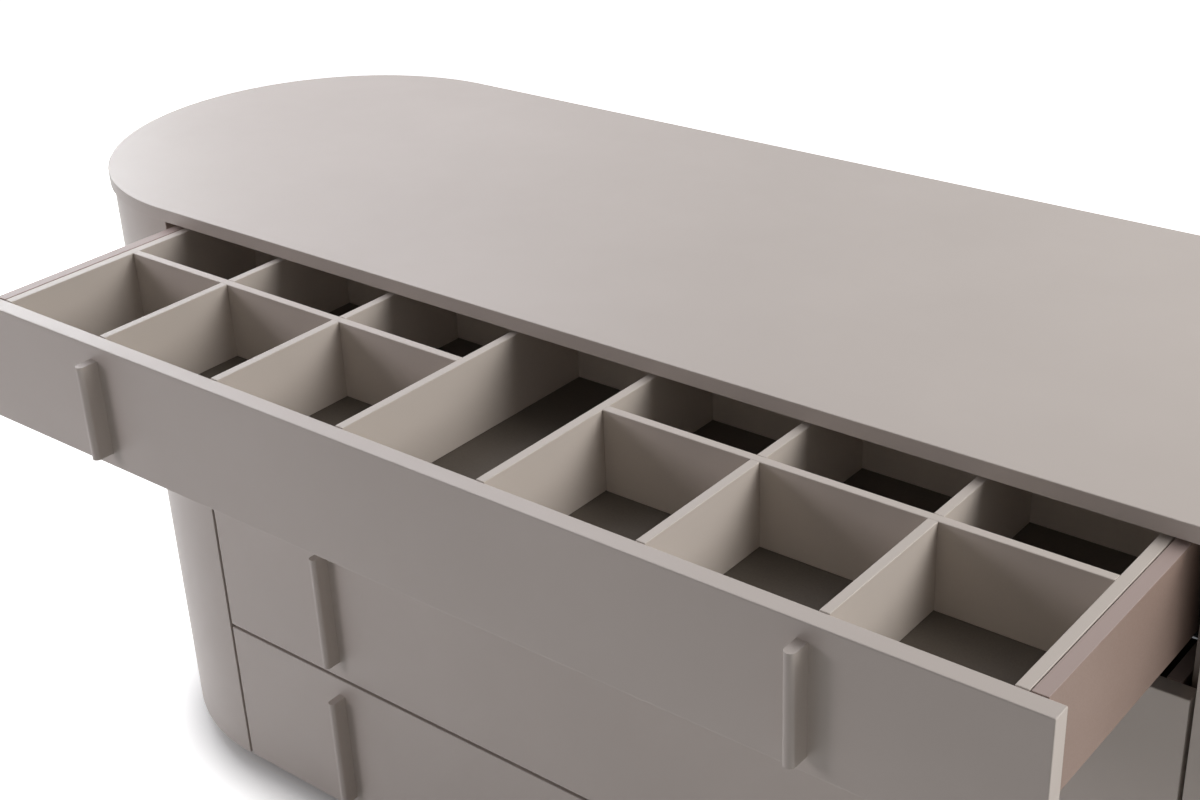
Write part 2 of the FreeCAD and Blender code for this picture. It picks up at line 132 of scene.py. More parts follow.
def machined(mesh, arris=0.0, holes=None, tree=None, sizes=None):
    """Grows a mesh from a node tree if one is given, eases its edges, cuts its holes and
    evens its shading, and gives back one plain mesh with no modifiers."""
    carrier = bpy.data.objects.new("carrier", mesh)
    bpy.context.scene.collection.objects.link(carrier)
    if tree:
        grow = carrier.modifiers.new("grow", "NODES")
        grow.node_group = tree
        for item in tree.interface.items_tree:
            if item.item_type == "SOCKET" and item.name in sizes:
                grow[item.identifier] = sizes[item.name]
    if arris:
        ease = carrier.modifiers.new("ease", "BEVEL")
        ease.width = arris
        ease.segments = 3
        ease.limit_method = "ANGLE"
        ease.angle_limit = math.radians(50)
    if holes:
        cutter = bpy.data.objects.new("cutter", holes)
        bpy.context.scene.collection.objects.link(cutter)
        cut = carrier.modifiers.new("cut", "BOOLEAN")
        cut.operation = "DIFFERENCE"
        cut.solver = "EXACT"
        cut.object = cutter
    weigh = carrier.modifiers.new("weigh", "WEIGHTED_NORMAL")
    weigh.keep_sharp = True
    if not tree:
        for polygon in mesh.polygons:
            polygon.use_smooth = True
    graph = bpy.context.evaluated_depsgraph_get()
    made = bpy.data.meshes.new_from_object(carrier.evaluated_get(graph))
    bpy.data.objects.remove(carrier)
    if holes:
        bpy.data.objects.remove(cutter)
    return made


def fit(name, mesh, material, body, slot, *replaced):
    """Puts a finished mesh on the dresser: it moves with a body and stands for CAD nodes."""
    mesh.materials.clear()
    mesh.materials.append(material)
    piece = bpy.data.objects.new(name, mesh)
    mesh.name = name
    bpy.context.scene.collection.objects.link(piece)
    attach(piece, body)
    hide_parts(*replaced)


black_brown_board = faced_board("black_brown_faced_board", "#2B2724", "#221E1C", 0.6)
plinth_arris = 0.6 * mm
half_rail = 30 * mm
plinth_lo, plinth_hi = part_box("plinth_long_rails")
inner_y = plinth_hi.y - 2 * half_rail
outer_rail_x = plinth_hi.x - half_rail
fit("plinth_rails_front_and_back",
    machined(blocks((plinth_lo, (plinth_hi.x, -inner_y, plinth_hi.z)),
                    ((plinth_lo.x, inner_y, plinth_lo.z), plinth_hi)), arris=plinth_arris),
    black_brown_board, "cabinet", "dark_plinth", "plinth_long_rails")
cross_rails = [((x - half_rail, -inner_y, plinth_lo.z), (x + half_rail, inner_y, plinth_hi.z))
               for x in (-outer_rail_x, 0.0, outer_rail_x)]
fit("plinth_rails_across", machined(blocks(*cross_rails), arris=plinth_arris),
    black_brown_board, "cabinet", "dark_plinth", "plinth_cross_rails")

# Levelling feet
# Five round glides, moulded in black polypropylene, with a stem pressed into the plinth.
# Each has eased rims and keeps the plinth 4 mm off the floor.


def new_tree(name, **sizes):
    """A geometry node tree whose inputs are a shape's sizes."""
    tree = bpy.data.node_groups.new(name, "GeometryNodeTree")
    tree.interface.new_socket("Places", in_out="INPUT", socket_type="NodeSocketGeometry")
    tree.interface.new_socket("Shape", in_out="OUTPUT", socket_type="NodeSocketGeometry")
    for label, kind in sizes.items():
        tree.interface.new_socket(label, in_out="INPUT", socket_type="NodeSocket" + kind)
    given = tree.nodes.new("NodeGroupInput").outputs
    return tree, given, lambda kind, settings=None, sockets=None: add(
        tree, kind, settings, sockets).outputs


def set_in_place(tree, given, shape):
    """The end of every tree: the shape is set at each place, turned, made real and painted."""
    spots = add(tree, "GeometryNodeInstanceOnPoints", sockets={
        "Points": given["Places"], "Instance": shape, "Rotation": given["Turn"]})
    real = add(tree, "GeometryNodeRealizeInstances", sockets={0: spots.outputs[0]})
    painted = add(tree, "GeometryNodeSetMaterial", sockets={
        "Geometry": real.outputs[0], "Material": given["Finish"]})
    tree.links.new(painted.outputs[0], tree.nodes.new("NodeGroupOutput").inputs["Shape"])
    return tree


def eased_slab():
    """A slab with straight long sides, half-round ends and a rounded rim above and below.
    The rings of a many-sided cylinder are moved to the rim's profile and then spread apart."""
    tree, given, node = new_tree(
        "eased_slab", Length="Float", Depth="Float", Thickness="Float", Arris="Float",
        Sides="Int", Turn="Vector", Finish="Material")
    steps = 4
    drum = node("GeometryNodeMeshCylinder", {"fill_type": "NGON"}, {
        "Vertices": given["Sides"], "Side Segments": 2 * steps + 1, "Radius": 1.0,
        "Depth": float(2 * steps + 1)})
    xyz = node("ShaderNodeSeparateXYZ", sockets={0: node("GeometryNodeInputPosition")[0]})
    ring = node("ShaderNodeMath", {"operation": "ADD"}, {0: xyz["Z"], 1: steps + 0.5})[0]
    low = node("ShaderNodeMapRange", sockets={
        "Value": ring, "From Max": float(steps), "To Max": math.pi / 2})[0]
    high = node("ShaderNodeMapRange", sockets={
        "Value": ring, "From Min": steps + 1.0, "From Max": 2 * steps + 1.0,
        "To Max": math.pi / 2})[0]
    in_low = node("ShaderNodeMath", {"operation": "SINE"}, {0: low})[0]
    in_high = node("ShaderNodeMath", {"operation": "COSINE"}, {0: high})[0]
    kept = node("ShaderNodeMath", {"operation": "ADD"}, {0: in_low, 1: in_high})[0]
    inset = node("ShaderNodeMath", {"operation": "SUBTRACT"}, {0: 2.0, 1: kept})[0]
    up_low = node("ShaderNodeMath", {"operation": "COSINE"}, {0: low})[0]
    up_high = node("ShaderNodeMath", {"operation": "SINE"}, {0: high})[0]
    rise = node("ShaderNodeMath", {"operation": "SUBTRACT"}, {0: up_high, 1: up_low})[0]
    half = node("ShaderNodeMath", {"operation": "MULTIPLY"}, {0: given["Depth"], 1: 0.5})[0]
    radius = node("ShaderNodeMath", {"operation": "MULTIPLY_ADD"}, {
        0: inset, 1: node("ShaderNodeMath", {"operation": "MULTIPLY"}, {
            0: given["Arris"], 1: -1.0})[0], 2: half})[0]
    past = node("ShaderNodeMath", {"operation": "GREATER_THAN"}, {0: ring, 1: steps + 0.5})[0]
    level = node("ShaderNodeMath", {"operation": "SUBTRACT"}, {
        0: given["Thickness"], 1: node("ShaderNodeMath", {"operation": "MULTIPLY"}, {
            0: given["Arris"], 1: 2.0})[0]})[0]
    lift = node("ShaderNodeMath", {"operation": "MULTIPLY_ADD"}, {
        0: past, 1: level, 2: given["Arris"]})[0]
    height = node("ShaderNodeMath", {"operation": "MULTIPLY_ADD"}, {
        0: rise, 1: given["Arris"], 2: lift})[0]
    half_step = node("ShaderNodeMath", {"operation": "DIVIDE"}, {
        0: math.pi, 1: given["Sides"]})[0]
    angle = node("ShaderNodeMath", {"operation": "ADD"}, {
        0: node("ShaderNodeMath", {"operation": "ARCTAN2"}, {0: xyz["Y"], 1: xyz["X"]})[0],
        1: half_step})[0]
    along = node("ShaderNodeMath", {"operation": "COSINE"}, {0: angle})[0]
    across = node("ShaderNodeMath", {"operation": "SINE"}, {0: angle})[0]
    spread = node("ShaderNodeMath", {"operation": "MULTIPLY"}, {
        0: node("ShaderNodeMath", {"operation": "SUBTRACT"}, {
            0: given["Length"], 1: given["Depth"]})[0], 1: 0.5})[0]
    shift = node("ShaderNodeMath", {"operation": "MULTIPLY"}, {
        0: node("ShaderNodeMath", {"operation": "SIGN"}, {0: along})[0], 1: spread})[0]
    to_x = node("ShaderNodeMath", {"operation": "MULTIPLY_ADD"}, {0: along, 1: radius, 2: shift})[0]
    to_y = node("ShaderNodeMath", {"operation": "MULTIPLY"}, {0: across, 1: radius})[0]
    moved = node("GeometryNodeSetPosition", sockets={
        "Geometry": drum["Mesh"],
        "Position": node("ShaderNodeCombineXYZ", sockets={0: to_x, 1: to_y, 2: height})[0]})
    return set_in_place(tree, given, moved[0])


def places(*points):
    """A mesh of loose points, where a tree sets its shapes."""
    mesh = bpy.data.meshes.new("places")
    mesh.from_pydata([tuple(p) for p in points], [], [])
    return mesh


def moulded_plastic(name, colour):
    """Polypropylene, moulded against a spark-eroded tool: a fine 0.6 mm grain and a dull sheen."""
    material, tree, shader, place = new_finish(name)
    grain = add(tree, "ShaderNodeTexNoise", sockets={
        "Vector": place, "Scale": 1600.0, "Detail": 2.0})
    tone = add(tree, "ShaderNodeTexNoise", sockets={"Vector": place, "Scale": 60.0})
    mix = add(tree, "ShaderNodeMix", {"data_type": "RGBA"}, {
        0: tone.outputs["Fac"], 6: linear(colour), 7: linear("#26262A")})
    sheen = add(tree, "ShaderNodeMapRange", sockets={
        "Value": grain.outputs["Fac"], "To Min": 0.42, "To Max": 0.6})
    relief = add(tree, "ShaderNodeBump", sockets={
        "Height": grain.outputs["Fac"], "Strength": 0.3, "Distance": 0.00005})
    tree.links.new(mix.outputs[2], shader.inputs["Base Color"])
    tree.links.new(sheen.outputs[0], shader.inputs["Roughness"])
    tree.links.new(relief.outputs[0], shader.inputs["Normal"])
    return material


slab_tree = eased_slab()
glide_plastic = moulded_plastic("black_moulded_plastic", "#18181A")
glide_width = 40 * mm
glide_y = plinth_hi.y - half_rail
corner_places = [(x * outer_rail_x, y * glide_y, 0) for x in (-1, 1) for y in (-1, 1)]
fit("levelling_glides",
    machined(places((0, 0, 0), *corner_places), tree=slab_tree, sizes={
        "Length": glide_width, "Depth": glide_width, "Thickness": plinth_lo.z,
        "Arris": 1.0 * mm, "Sides": 48, "Finish": glide_plastic}),
    glide_plastic, "cabinet", "black_foot", "levelling_feet")

# Carcass boards
# Bottom panel, two upright side panels, back panel and rear rail, of brown faced board.
# They are glued and screwed together, and show inside the drawer openings and from behind.

carcass_board = faced_board("brown_faced_board", "#5A4C42", "#4D4138")
panel_lo, panel_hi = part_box("bottom_panel")
fit("bottom_board",
    machined(places((0, 0, panel_lo.z)), tree=slab_tree, sizes={
        "Length": panel_hi.x - panel_lo.x, "Depth": panel_hi.y - panel_lo.y,
        "Thickness": panel_hi.z - panel_lo.z, "Arris": 0.4 * mm, "Sides": 192,
        "Finish": carcass_board}),
    carcass_board, "cabinet", "carcass_board", "bottom_panel")
for name, node in (("upright_left", "side_panel_left"), ("upright_right", "side_panel_right"),
                   ("back_board", "back_panel"), ("rail_under_top", "rear_rail")):
    fit(name, machined(blocks(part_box(node)), arris=0.5 * mm),
        carcass_board, "cabinet", "carcass_board", node)

# Screws in the back
# Fifteen zinc-plated pan-head screws with cross recesses hold the back to the carcass.
# Two columns go into the uprights, and one row into the bottom panel.


def screw_heads():
    """A domed round head with a cross recess cut into it, facing up before it is turned."""
    tree, given, node = new_tree(
        "screw_heads", Radius="Float", Height="Float", Dome="Float", Turn="Vector",
        Finish="Material")
    disc = node("GeometryNodeMeshCylinder", {"fill_type": "TRIANGLE_FAN"}, {
        "Vertices": 28, "Side Segments": 2, "Fill Segments": 4, "Radius": given["Radius"],
        "Depth": given["Height"]})
    xyz = node("ShaderNodeSeparateXYZ", sockets={0: node("GeometryNodeInputPosition")[0]})
    in_plan = node("ShaderNodeCombineXYZ", sockets={0: xyz["X"], 1: xyz["Y"]})[0]
    reach = node("ShaderNodeVectorMath", {"operation": "LENGTH"}, {0: in_plan})["Value"]
    share = node("ShaderNodeMath", {"operation": "DIVIDE"}, {0: reach, 1: given["Radius"]})[0]
    dome_power = 2.6
    curve = node("ShaderNodeMath", {"operation": "POWER"}, {0: share, 1: dome_power})[0]
    fall = node("ShaderNodeMath", {"operation": "MULTIPLY"}, {0: curve, 1: given["Dome"]})[0]
    upper = node("ShaderNodeMath", {"operation": "GREATER_THAN"}, {0: xyz["Z"], 1: 0.0})[0]
    drop = node("ShaderNodeMath", {"operation": "MULTIPLY"}, {0: fall, 1: upper})[0]
    down = node("ShaderNodeMath", {"operation": "MULTIPLY"}, {0: drop, 1: -1.0})[0]
    half = node("ShaderNodeMath", {"operation": "MULTIPLY"}, {0: given["Height"], 1: 0.5})[0]
    lift = node("ShaderNodeMath", {"operation": "ADD"}, {0: down, 1: half})[0]
    domed = node("GeometryNodeSetPosition", sockets={
        "Geometry": disc["Mesh"], "Offset": node("ShaderNodeCombineXYZ", sockets={2: lift})[0]})
    # Two bars cut the recess. Their sizes are shares of the head's radius and of its height.
    bar_length = 1.15
    bar_width = 0.24
    bar_height = 1.3
    long = node("ShaderNodeMath", {"operation": "MULTIPLY"}, {
        0: given["Radius"], 1: bar_length})[0]
    thin = node("ShaderNodeMath", {"operation": "MULTIPLY"}, {
        0: given["Radius"], 1: bar_width})[0]
    deep = node("ShaderNodeMath", {"operation": "MULTIPLY"}, {
        0: given["Height"], 1: bar_height})[0]
    bar = node("GeometryNodeMeshCube", sockets={
        "Size": node("ShaderNodeCombineXYZ", sockets={0: long, 1: thin, 2: deep})[0]})
    cross = node("GeometryNodeMeshCube", sockets={
        "Size": node("ShaderNodeCombineXYZ", sockets={0: thin, 1: long, 2: deep})[0]})
    lifted = [node("GeometryNodeTransform", sockets={
        "Geometry": arm["Mesh"],
        "Translation": node("ShaderNodeCombineXYZ", sockets={2: given["Height"]})[0]})
        for arm in (bar, cross)]
    recess = add(tree, "GeometryNodeMeshBoolean", {"operation": "DIFFERENCE"}, {
        "Mesh 1": domed[0], "Mesh 2": lifted[0][0]})
    tree.links.new(lifted[1][0], recess.inputs["Mesh 2"])
    faceted = node("GeometryNodeSetShadeSmooth", sockets={
        0: recess.outputs["Mesh"], "Shade Smooth": False})
    return set_in_place(tree, given, faceted[0])


def zinc_plate(name):
    """Steel, zinc plated and passivated dull: a cool grey metal, faintly spangled.
    The plating's crystals are drawn about 4 mm wide, with drawing marks along the sheet."""
    material, tree, shader, place = new_finish(name)
    crystals = add(tree, "ShaderNodeTexVoronoi", sockets={"Vector": place, "Scale": 240.0})
    tone = add(tree, "ShaderNodeMix", {"data_type": "RGBA"}, {
        0: crystals.outputs["Distance"], 6: linear("#85888A"), 7: linear("#6B6E71")})
    drawn = add(tree, "ShaderNodeMapping", sockets={"Vector": place, "Scale": (900.0, 30.0, 900.0)})
    marks = add(tree, "ShaderNodeTexNoise", sockets={"Vector": drawn.outputs[0], "Scale": 1.0})
    sheen = add(tree, "ShaderNodeMapRange", sockets={
        "Value": marks.outputs["Fac"], "To Min": 0.46, "To Max": 0.66})
    relief = add(tree, "ShaderNodeBump", sockets={
        "Height": marks.outputs["Fac"], "Strength": 0.1, "Distance": 0.00005})
    shader.inputs["Metallic"].default_value = 1.0
    tree.links.new(tone.outputs[2], shader.inputs["Base Color"])
    tree.links.new(sheen.outputs[0], shader.inputs["Roughness"])
    tree.links.new(relief.outputs[0], shader.inputs["Normal"])
    return material


screw_tree = screw_heads()
zinc = zinc_plate("zinc_plated_steel")
# The columns stand midway between an upright's inner face and the shell's edge, and the row runs
# along the middle of the bottom panel. The end screws keep one distance from the edges.
screws_in_line = 5
screw_edge = 60 * mm
rear_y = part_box("back_panel")[1].y
upright_lo, upright_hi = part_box("side_panel_right")
shell_edge_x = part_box("end_shell_right")[0].x
column_x = (upright_lo.x + shell_edge_x) / 2
low_z = (panel_lo.z + panel_hi.z) / 2
first_z = low_z + screw_edge
first_x = screw_edge - upright_lo.x
rise = (upright_hi.z - screw_edge - first_z) / (screws_in_line - 1)
run = -2 * first_x / (screws_in_line - 1)
back_places = [(side * column_x, rear_y, first_z + row * rise)
               for row in range(screws_in_line) for side in (-1, 1)]
back_places += [(first_x + column * run, rear_y, low_z) for column in range(screws_in_line)]
fit("back_screw_heads",
    machined(places(*back_places), tree=screw_tree, sizes={
        "Radius": 4.0 * mm, "Height": 2.5 * mm, "Dome": 1.2 * mm,
        "Turn": (-math.pi / 2, 0.0, 0.0), "Finish": zinc}),
    zinc, "cabinet", "zinc_plated_steel", "back_panel_screws")

# End shells
# Each end is a half-round wall of bent, laminated board, sprayed with satin greige lacquer.
# A short flat lip at the front and back ends it, and its front edge meets the drawer fronts.


def end_wall():
    """A wall that follows a half circle with a short straight lip at each end.
    A chain of points is bent to that line, and an eased upright section is swept along it."""
    tree, given, node = new_tree(
        "end_wall", Radius="Float", Wall="Float", Height="Float", Lip="Float", Centre="Float",
        Arris="Float", Steps="Int", Turn="Vector", Finish="Material")
    # The chain has a point for each lip's end, and between them one more than there are steps.
    count = node("ShaderNodeMath", {"operation": "ADD"}, {0: given["Steps"], 1: 3.0})[0]
    chain = node("GeometryNodeMeshLine", sockets={"Count": count})
    index = node("GeometryNodeInputIndex")[0]
    last = node("ShaderNodeMath", {"operation": "ADD"}, {0: given["Steps"], 1: 1.0})[0]
    angle = node("ShaderNodeMapRange", sockets={
        "Value": index, "From Min": 1.0, "From Max": last,
        "To Min": -math.pi / 2, "To Max": math.pi / 2})[0]
    before = node("ShaderNodeMath", {"operation": "LESS_THAN"}, {0: index, 1: 0.5})[0]
    after = node("ShaderNodeMath", {"operation": "GREATER_THAN"}, {
        0: index, 1: node("ShaderNodeMath", {"operation": "ADD"}, {0: last, 1: 0.5})[0]})[0]
    on_lip = node("ShaderNodeMath", {"operation": "ADD"}, {0: before, 1: after})[0]
    back = node("ShaderNodeMath", {"operation": "MULTIPLY"}, {0: on_lip, 1: given["Lip"]})[0]
    centre = node("ShaderNodeMath", {"operation": "SUBTRACT"}, {0: given["Centre"], 1: back})[0]
    along = node("ShaderNodeMath", {"operation": "MULTIPLY_ADD"}, {
        0: node("ShaderNodeMath", {"operation": "COSINE"}, {0: angle})[0],
        1: given["Radius"], 2: centre})[0]
    across = node("ShaderNodeMath", {"operation": "MULTIPLY"}, {
        0: node("ShaderNodeMath", {"operation": "SINE"}, {0: angle})[0], 1: given["Radius"]})[0]
    middle = node("ShaderNodeMath", {"operation": "MULTIPLY"}, {0: given["Height"], 1: 0.5})[0]
    bent = node("GeometryNodeSetPosition", sockets={
        "Geometry": chain[0], "Position": node("ShaderNodeCombineXYZ", sockets={
            0: along, 1: across, 2: middle})[0]})
    path = node("GeometryNodeMeshToCurve", sockets={0: bent[0]})
    oblong = node("GeometryNodeCurvePrimitiveQuadrilateral", {"mode": "RECTANGLE"}, {
        "Width": given["Wall"], "Height": given["Height"]})
    section = node("GeometryNodeFilletCurve", {"mode": "POLY"}, {
        "Curve": oblong[0], "Count": 3, "Radius": given["Arris"]})
    wall = node("GeometryNodeCurveToMesh", sockets={
        "Curve": path[0], "Profile Curve": section[0], "Fill Caps": True})
    smooth = node("GeometryNodeSetShadeSmooth", sockets={0: wall[0]})
    return set_in_place(tree, given, smooth[0])


def satin_lacquer(name, coat, thin, roughness=0.42):
    """Two-part lacquer, sprayed in several coats and left satin: an even colour with the
    faintest cloud, and a shallow orange peel about 3 mm across that softens reflections."""
    material, tree, shader, place = new_finish(name)
    cloud = add(tree, "ShaderNodeTexNoise", sockets={
        "Vector": place, "Scale": 4.5, "Detail": 3.0, "Roughness": 0.45})
    share = add(tree, "ShaderNodeMapRange", sockets={
        "Value": cloud.outputs["Fac"], "From Min": 0.32, "From Max": 0.68})
    colour = add(tree, "ShaderNodeMix", {"data_type": "RGBA"}, {
        0: share.outputs[0], 6: linear(coat), 7: linear(thin)})
    peel = add(tree, "ShaderNodeTexNoise", sockets={
        "Vector": place, "Scale": 340.0, "Detail": 1.0, "Roughness": 0.35})
    wave = add(tree, "ShaderNodeTexNoise", sockets={"Vector": place, "Scale": 45.0, "Detail": 1.0})
    wave_weight = 1.4
    height = add(tree, "ShaderNodeMath", {"operation": "MULTIPLY_ADD"}, {
        0: wave.outputs["Fac"], 1: wave_weight, 2: peel.outputs["Fac"]})
    relief = add(tree, "ShaderNodeBump", sockets={
        "Height": height.outputs[0], "Strength": 0.16, "Distance": 0.00006})
    sheen = add(tree, "ShaderNodeMapRange", sockets={
        "Value": wave.outputs["Fac"], "To Min": roughness - 0.04, "To Max": roughness + 0.05})
    tree.links.new(colour.outputs[2], shader.inputs["Base Color"])
    tree.links.new(sheen.outputs[0], shader.inputs["Roughness"])
    tree.links.new(relief.outputs[0], shader.inputs["Normal"])
    return material


wall_tree = end_wall()
greige = satin_lacquer("greige_satin_lacquer", "#CBC2BA", "#C6BDB5")
shell_lo, shell_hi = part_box("end_shell_right")
wall = 20 * mm
lip = 2 * mm
shell_arris = 0.8 * mm
for name, node, turn in (("half_round_end_right", "end_shell_right", 0.0),
                         ("half_round_end_left", "end_shell_left", math.pi)):
    fit(name,
        machined(places((0, 0, shell_lo.z)), arris=shell_arris, tree=wall_tree, sizes={
            "Radius": shell_hi.y - wall / 2, "Wall": wall, "Height": shell_hi.z - shell_lo.z,
            "Lip": lip, "Centre": shell_lo.x + lip, "Arris": shell_arris, "Steps": 96,
            "Turn": (0.0, 0.0, turn), "Finish": greige}),
        greige, "cabinet", "greige_lacquer", node)

# Top panel
# One slab with half-round ends and barely eased rims, sprayed in the same lacquer.
# It overhangs the fronts and the shells by 4 mm and lies on the uprights and the shells.

top_lo, top_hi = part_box("top_panel")
fit("top_slab",
    machined(places((0, 0, top_lo.z)), tree=slab_tree, sizes={
        "Length": top_hi.x - top_lo.x, "Depth": top_hi.y - top_lo.y,
        "Thickness": top_hi.z - top_lo.z, "Arris": 0.8 * mm, "Sides": 384, "Finish": greige}),
    greige, "cabinet", "greige_lacquer", "top_panel")

# Brackets, rails and slides
# Folded from zinc-plated sheet: angles tie the uprights to the top, and each drawer hangs on
# fixed rails, middle slides and drawer slides. Short screws hold the angles and the rails. The
# CAD's own solids stay, with that finish.

drawers = ("top_drawer", "second_drawer", "third_drawer", "bottom_drawer")
sheet_nodes = ["top_brackets", "short_screws", "runner_rails"]
for drawer in drawers:
    sheet_nodes += [drawer + "_slides", drawer + "_middle_slides"]
for node in sheet_nodes:
    nodes[node].data.materials.clear()
    nodes[node].data.materials.append(zinc)

# Drawer boxes
# Two sides and a back of tan faced board around a thin dark bottom that sits in grooves.
# Under the bottoms the sides run on down, past the slides.


def left_and_right(drawer, piece):
    """The CAD's nodes for a drawer's pair of pieces. Only the top drawer has one for each."""
    if drawer == "top_drawer":
        return [drawer + piece + "_left", drawer + piece + "_right"]
    return [drawer + piece + "s"]


tan_board = faced_board("tan_faced_board", "#998479", "#8D786D", 0.5, painted_top_highlight="#B19F98")
dark_floor = faced_board("anthracite_faced_board", "#686057", "#575048", 0.62)
side_wall = 13 * mm
for drawer in drawers:
    side_nodes = left_and_right(drawer, "_side")
    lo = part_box(side_nodes[0])[0]
    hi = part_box(side_nodes[-1])[1]
    fit(drawer + "_box_sides",
        machined(blocks((lo, (lo.x + side_wall, hi.y, hi.z)), ((hi.x - side_wall, lo.y, lo.z), hi)),
                 arris=0.7 * mm),
        tan_board, drawer, "tan_drawer_side", *side_nodes)
    fit(drawer + "_box_back", machined(blocks(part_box(drawer + "_back")), arris=0.5 * mm),
        tan_board, drawer, "tan_drawer_side", drawer + "_back")
    fit(drawer + "_box_floor", machined(blocks(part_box(drawer + "_bottom")), arris=0.3 * mm),
        dark_floor, drawer, "dark_drawer_floor", drawer + "_bottom")

# Drawer fronts
# Four flat fronts of lacquered fibreboard with softly rounded edges, 3 mm apart.
# Behind, each is grooved for its bottom, with four counterbores for the handles' screws.


def drums(radius, deep, *ends):
    """A plain mesh of short round bars, along the front-to-back line from each end point."""
    form = bmesh.new()
    for end in ends:
        spot = Matrix.Translation(Vector(end) + Vector((0, deep / 2, 0)))
        bmesh.ops.create_cone(form, cap_ends=True, segments=32, radius1=radius, radius2=radius,
                              depth=deep, matrix=spot @ Matrix.Rotation(math.pi / 2, 4, "X"))
    mesh = bpy.data.meshes.new("drums")
    form.to_mesh(mesh)
    form.free()
    return mesh


def joined(*meshes):
    """Several plain meshes as one."""
    form = bmesh.new()
    for mesh in meshes:
        form.from_mesh(mesh)
    whole = bpy.data.meshes.new("joined")
    form.to_mesh(whole)
    form.free()
    return whole


# A handle's length is a share of its front's height, and its screws stand a share of that length
# above and below its middle.
handle_share = 0.757
screw_share = 0.25
handle_x = 397.5 * mm
groove_depth = 6 * mm
bore_depth = 2.6 * mm
bore_radius = 3.6 * mm
# The fronts are drawn this much smaller on each side, so that the seams look as dark and wide as
# in the photograph. A cut runs out past the wood by 1 mm.
trim = Vector((0.7 * mm, 0.0, 0.6 * mm))
run_out = 1 * mm
for drawer in drawers:
    lo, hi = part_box(drawer + "_front")
    middle = (lo.z + hi.z) / 2
    reach = (hi.z - lo.z) * handle_share * screw_share
    heads = [(x * handle_x, hi.y - bore_depth, middle + step * reach)
             for x in (-1, 1) for step in (-1, 1)]
    floor_lo, floor_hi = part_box(drawer + "_bottom")
    groove = blocks(((floor_lo.x, hi.y - groove_depth, floor_lo.z),
                     (floor_hi.x, hi.y + run_out, floor_hi.z)))
    fit(drawer + "_front_board",
        machined(blocks((lo + trim, hi - trim)), arris=1.2 * mm,
                 holes=joined(groove, drums(bore_radius, bore_depth + run_out, *heads))),
        greige, drawer, "greige_lacquer", drawer + "_front")

    # The screws' heads lie in the counterbores and pull the handles on from behind.
    fit(drawer + "_handle_screw_heads",
        machined(places(*heads), tree=screw_tree, sizes={
            "Radius": 3.5 * mm, "Height": 2.5 * mm, "Dome": 0.5 * mm,
            "Turn": (-math.pi / 2, 0.0, 0.0), "Finish": zinc}),
        zinc, drawer, "zinc_plated_steel", drawer + "_handle_screws")

# Handles
# Upright bars with a full-round nose, two to a front, in the same greige lacquer.
# They stand on the face of the front and are screwed on through it.


def handle_bars():
    """A bar, flat behind and full-round in front, drawn in plan and raised to its length."""
    tree, given, node = new_tree(
        "handle_bars", Width="Float", Reach="Float", Length="Float", Steps="Int",
        Turn="Vector", Finish="Material")
    plan = node("GeometryNodeCurvePrimitiveQuadrilateral", {"mode": "RECTANGLE"}, {
        "Width": given["Width"], "Height": given["Reach"]})
    y = node("ShaderNodeSeparateXYZ", sockets={0: node("GeometryNodeInputPosition")[0]})["Y"]
    nose = node("ShaderNodeMath", {"operation": "LESS_THAN"}, {0: y, 1: 0.0})[0]
    nearly_half = 0.4999
    full = node("ShaderNodeMath", {"operation": "MULTIPLY"}, {
        0: given["Width"], 1: nearly_half})[0]
    turn = node("ShaderNodeMath", {"operation": "MULTIPLY"}, {0: nose, 1: full})[0]
    rounded = node("GeometryNodeFilletCurve", {"mode": "POLY"}, {
        "Curve": plan[0], "Count": given["Steps"], "Radius": turn})
    foot = node("GeometryNodeFillCurve", {"mode": "NGONS"}, {"Curve": rounded[0]})
    raised = node("GeometryNodeExtrudeMesh", {"mode": "FACES"}, {
        "Mesh": foot[0], "Offset Scale": given["Length"], "Individual": False})
    under = node("GeometryNodeFlipFaces", sockets={"Mesh": foot[0]})
    whole = add(tree, "GeometryNodeJoinGeometry", sockets={0: raised[0]})
    tree.links.new(under[0], whole.inputs[0])
    closed = node("GeometryNodeMergeByDistance", sockets={
        "Geometry": whole.outputs[0], "Distance": 0.000001})
    back = node("ShaderNodeMath", {"operation": "MULTIPLY"}, {0: given["Reach"], 1: -0.5})[0]
    set_back = node("GeometryNodeTransform", sockets={
        "Geometry": closed[0],
        "Translation": node("ShaderNodeCombineXYZ", sockets={1: back})[0]})
    smooth = node("GeometryNodeSetShadeSmooth", sockets={0: set_back[0]})
    return set_in_place(tree, given, smooth[0])


bar_tree = handle_bars()
bar_width = 10 * mm
bar_reach = 20 * mm
for drawer in drawers:
    lo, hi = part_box(drawer + "_front")
    bar_length = (hi.z - lo.z) * handle_share
    foot_z = (lo.z + hi.z - bar_length) / 2
    fit(drawer + "_handle_bars",
        machined(places((-handle_x, lo.y, foot_z), (handle_x, lo.y, foot_z)), arris=0.9 * mm,
                 tree=bar_tree, sizes={"Width": bar_width, "Reach": bar_reach,
                                       "Length": bar_length, "Steps": 10, "Finish": greige}),
        greige, drawer, "handle_lacquer", *left_and_right(drawer, "_handle"))

# Organiser
# A loose tray of lacquered boards in the top drawer: three pairs of cells on each side of one
# long cell. Cross boards run front to back. The long boards are halved over the outer ones and
# end at the middle two.


